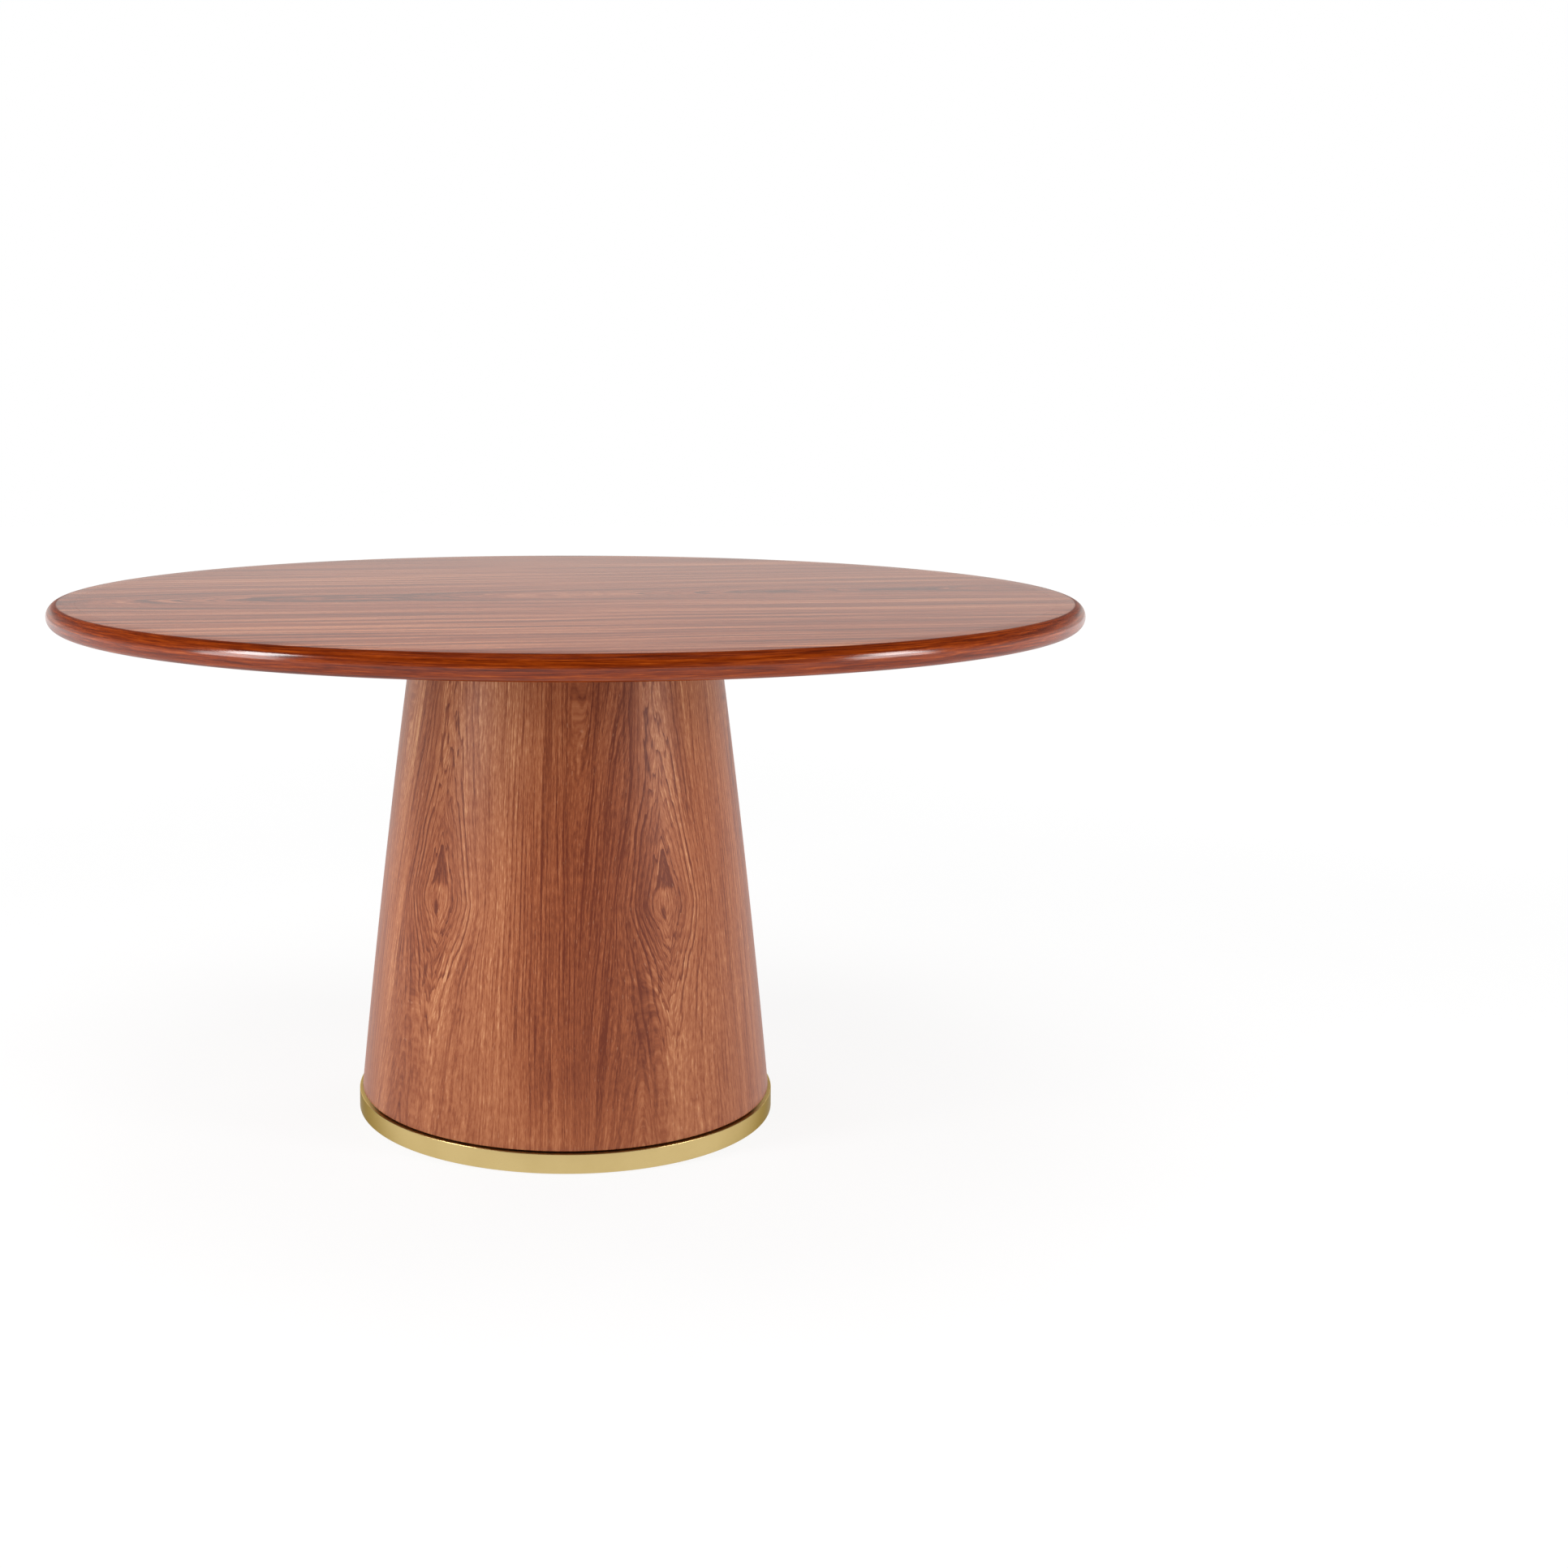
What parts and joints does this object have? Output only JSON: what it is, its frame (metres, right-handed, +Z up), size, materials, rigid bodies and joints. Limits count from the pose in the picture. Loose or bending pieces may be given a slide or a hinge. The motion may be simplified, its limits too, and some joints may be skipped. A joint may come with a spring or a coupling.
{
  "type": "tilt top table",
  "caption": "Round pedestal table whose veneered top unlatches and tips up to vertical; weighted tapering round pedestal with a brass foot ring.",
  "frame": {"origin": "centre of the footprint on the floor, on the pedestal's axis", "axes": "+Z up, -Y is the front (the pivot's side, where the tipped top shows its face), +X is to the right seen from the front"},
  "size_m": [1.5, 1.4998, 0.765],
  "materials": {
    "top_veneer": "polished lacquer over straight grained veneer",
    "lipping": "high gloss polished hardwood",
    "pedestal_veneer": "satin lacquer over slip matched veneer",
    "beech": "oiled",
    "plywood": "bare",
    "ring_brass": "satin lacquered",
    "hardware_brass": "polished",
    "bronze": "machined sintered bronze",
    "steel": "zinc plated",
    "ballast_steel": "primer grey",
    "rubber": "matt",
    "black_paint": "matt black stained board",
    "nylon": "matt"
  },
  "bodies": {
    "pedestal": {"cheek_left": "beech", "cheek_right": "beech", "front_rail": "beech", "rear_rail": "beech", "head_bolts": "steel", "pivot_bushes": "bronze", "rest_pads": "rubber", "stop_buffers": "rubber", "strike_plate": "hardware_brass", "strike_screws": "hardware_brass", "pedestal_cap": "pedestal_veneer", "upper_bulkhead": "plywood", "rib_long": "plywood", "rib_cross": "plywood", "lower_bulkhead": "plywood", "ballast_plates": "ballast_steel", "shell_panel_1": "pedestal_veneer", "shell_panel_2": "pedestal_veneer", "shell_panel_3": "pedestal_veneer", "shell_panel_4": "pedestal_veneer", "shell_panel_5": "pedestal_veneer", "tie_rods": "steel", "tie_nuts": "steel", "tie_washers": "steel", "spacer_disc": "black_paint", "foot_ring": "ring_brass", "ring_screws": "steel", "base_disc": "plywood", "glide_inserts": "hardware_brass"},
    "top": {"top_core": "top_veneer", "lipping_1": "lipping", "lipping_2": "lipping", "lipping_3": "lipping", "lipping_4": "lipping", "lipping_5": "lipping", "lipping_6": "lipping", "bearer_left": "beech", "bearer_right": "beech", "bearer_screws": "steel", "pivot_pins": "steel", "pivot_nuts": "steel", "thrust_washers": "steel", "latch_case": "hardware_brass", "latch_screws": "hardware_brass", "latch_spring": "steel"},
    "latch": {"latch_bolt": "hardware_brass", "latch_knob": "hardware_brass"},
    "glide_1": {"glide_1": "steel", "glide_pad_1": "nylon"},
    "glide_2": {"glide_2": "steel", "glide_pad_2": "nylon"},
    "glide_3": {"glide_3": "steel", "glide_pad_3": "nylon"},
    "glide_4": {"glide_4": "steel", "glide_pad_4": "nylon"},
    "glide_5": {"glide_5": "steel", "glide_pad_5": "nylon"}
  },
  "joints": [
    {"name": "top_tilt", "type": "hinge", "parent": "pedestal", "child": "top", "pos_m": [0, -0.205, 0.702], "axis": [1, 0, 0], "range_deg": [0, 82]},
    {"name": "latch_slide", "type": "slide", "parent": "top", "child": "latch", "axis": [0, 1, 0], "range_m": [0, 0.018], "stiffness_N_per_m": 300, "springref_m": -0.012, "deforming": ["latch_spring"]},
    {"name": "glide_1_height", "type": "slide", "parent": "pedestal", "child": "glide_1", "axis": [0, 0, 1], "range_m": [-0.01, 0]},
    {"name": "glide_2_height", "type": "slide", "parent": "pedestal", "child": "glide_2", "axis": [0, 0, 1], "range_m": [-0.01, 0]},
    {"name": "glide_3_height", "type": "slide", "parent": "pedestal", "child": "glide_3", "axis": [0, 0, 1], "range_m": [-0.01, 0]},
    {"name": "glide_4_height", "type": "slide", "parent": "pedestal", "child": "glide_4", "axis": [0, 0, 1], "range_m": [-0.01, 0]},
    {"name": "glide_5_height", "type": "slide", "parent": "pedestal", "child": "glide_5", "axis": [0, 0, 1], "range_m": [-0.01, 0]}
  ]
}
